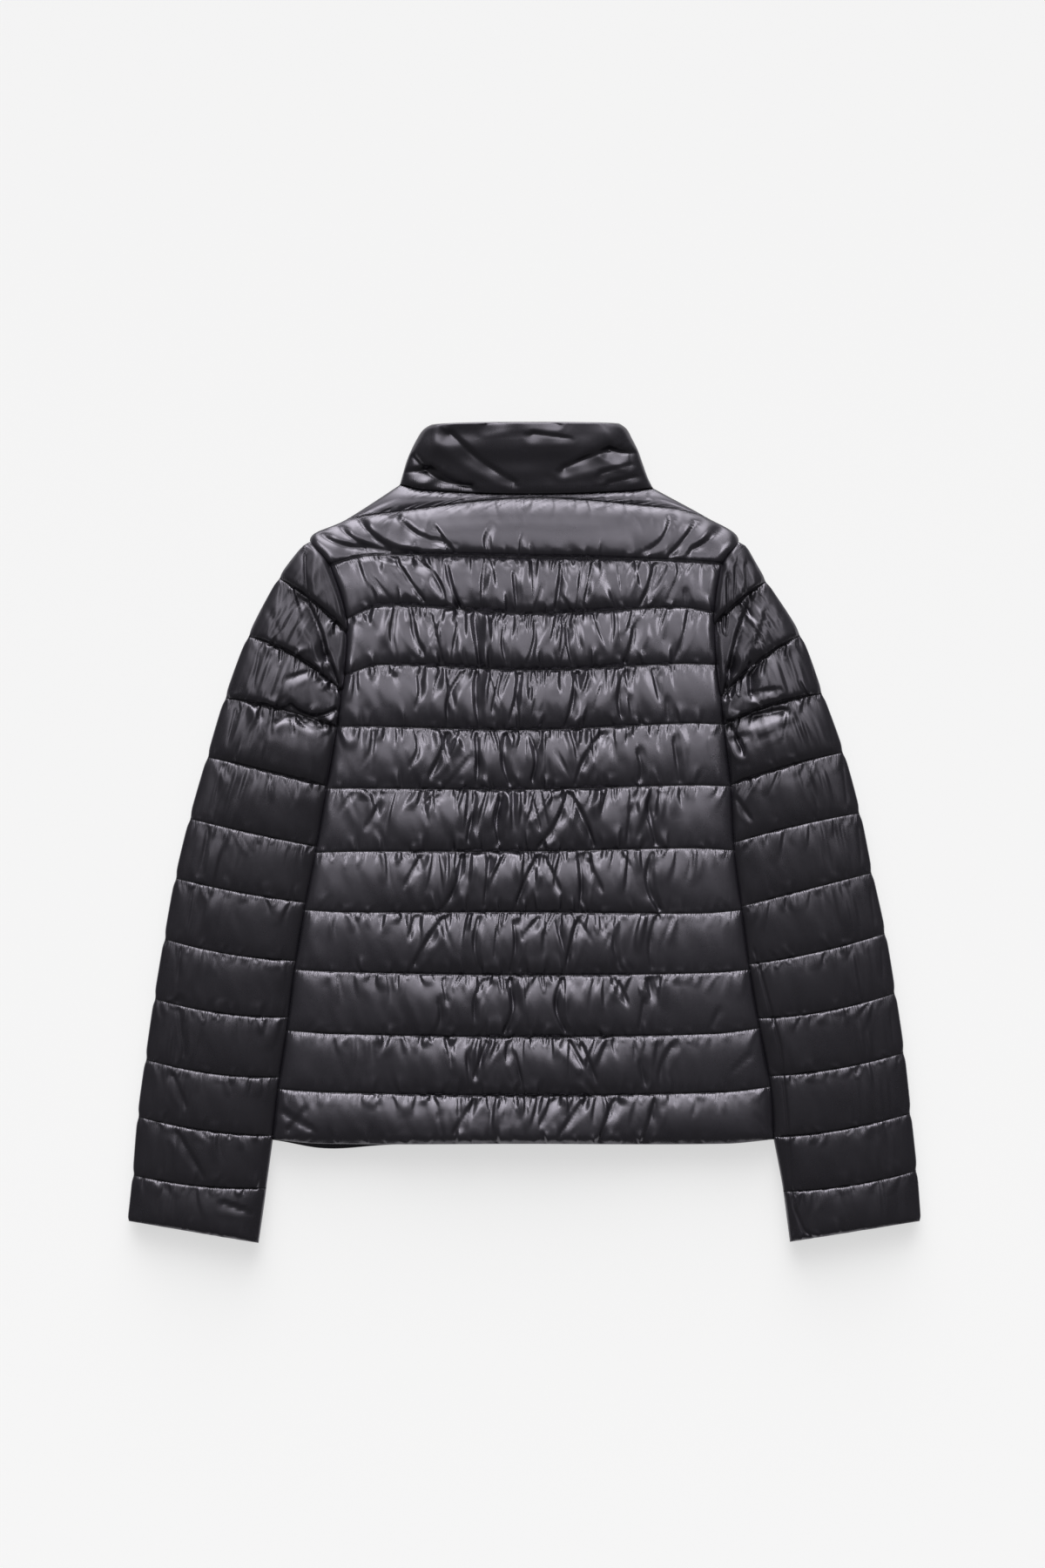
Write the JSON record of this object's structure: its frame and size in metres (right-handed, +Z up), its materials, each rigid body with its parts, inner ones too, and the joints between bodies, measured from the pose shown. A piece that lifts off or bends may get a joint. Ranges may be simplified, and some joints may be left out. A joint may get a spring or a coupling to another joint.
{
  "type": "quilted puffer jacket",
  "caption": "Light quilted puffer jacket with a stand collar and a front zip, laid flat on its front with the back up.",
  "frame": {"origin": "on the floor, under the middle of the whole garment's width and length", "axes": "+Z up from the floor through both layers; +Y from hem to collar; +X towards the wearer's right"},
  "size_m": [0.72, 0.744, 0.0281],
  "materials": {
    "shell": "glossy quilted nylon",
    "zip_tape": "matte woven tape and plastic coil",
    "zip_metal": "satin black"
  },
  "bodies": {
    "jacket": {"back": "shell", "front_left": "shell", "front_right": "shell", "sleeve_left": "shell", "sleeve_right": "shell", "collar": "shell", "zip": "zip_tape", "zip_slider": "zip_metal"},
    "pull_tab": {"zip_pull": "zip_metal"}
  },
  "joints": [
    {"name": "pull_swing", "type": "hinge", "parent": "jacket", "child": "pull_tab", "pos_m": [0, 0.308, 0.00183], "axis": [1, 0, 0], "range_deg": [0, 150]}
  ]
}
